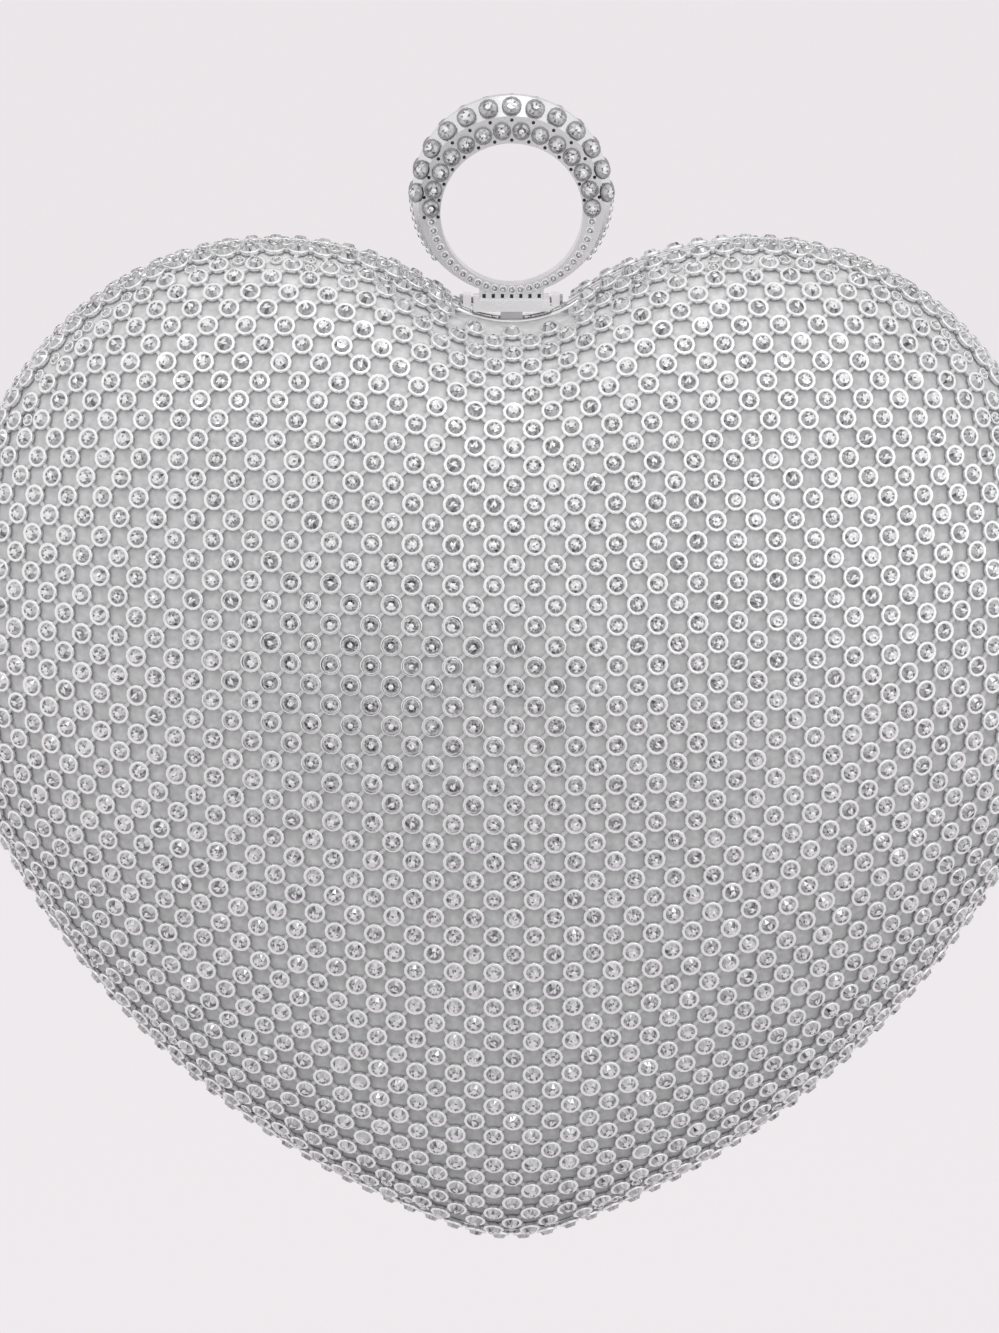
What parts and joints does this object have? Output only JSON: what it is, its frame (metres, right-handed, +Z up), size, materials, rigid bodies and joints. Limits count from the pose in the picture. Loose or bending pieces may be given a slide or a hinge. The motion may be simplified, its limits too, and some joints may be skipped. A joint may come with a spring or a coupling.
{
  "type": "heart shaped purse",
  "caption": "Hard heart shaped evening purse covered in crystal mesh: two domed halves hinged at the tip, closed at the cleft by a hasp that carries a jewelled finger ring.",
  "frame": {"origin": "centre of the finger ring's hole", "axes": "+Z up, the front faces -Y, +X to the right seen from the front, the ring's hole along Y"},
  "size_m": [0.1686, 0.0634, 0.1732],
  "materials": {
    "crystal_mesh": "clear faceted stones in bright metal cups, linked into a silver net",
    "ring_crystal": "clear faceted stones",
    "polished_metal": "polished silver plating",
    "spring_steel": "plain steel",
    "shell_plastic": "moulded grey shell",
    "lining_satin": "silver satin",
    "lining_trim": "silver braid"
  },
  "bodies": {
    "back_half": {"back_crystal_mesh": "crystal_mesh", "back_shell": "shell_plastic", "back_lining": "lining_satin", "back_lining_trim": "lining_trim", "back_frame": "polished_metal", "back_hinge_leaf": "polished_metal", "back_hinge_rivets": "polished_metal", "hinge_pin": "spring_steel", "hasp_pin": "spring_steel"},
    "front_half": {"front_crystal_mesh": "crystal_mesh", "front_shell": "shell_plastic", "front_lining": "lining_satin", "front_lining_trim": "lining_trim", "front_frame": "polished_metal", "front_hinge_leaf": "polished_metal", "front_hinge_rivets": "polished_metal", "catch_spring": "spring_steel", "catch_rivets": "polished_metal"},
    "ring_hasp": {"hasp_plate": "polished_metal", "ring_foot": "polished_metal", "finger_ring": "polished_metal", "ring_stones": "ring_crystal"}
  },
  "joints": [
    {"name": "case_open", "type": "hinge", "parent": "back_half", "child": "front_half", "pos_m": [0, 0, -0.1545], "axis": [1, 0, 0], "range_deg": [0, 70], "deforming": ["catch_spring"]},
    {"name": "ring_tilt", "type": "hinge", "parent": "back_half", "child": "ring_hasp", "pos_m": [0, 0.0036, -0.01345], "axis": [-1, 0, 0], "range_deg": [0, 50], "deforming": ["catch_spring"]}
  ]
}
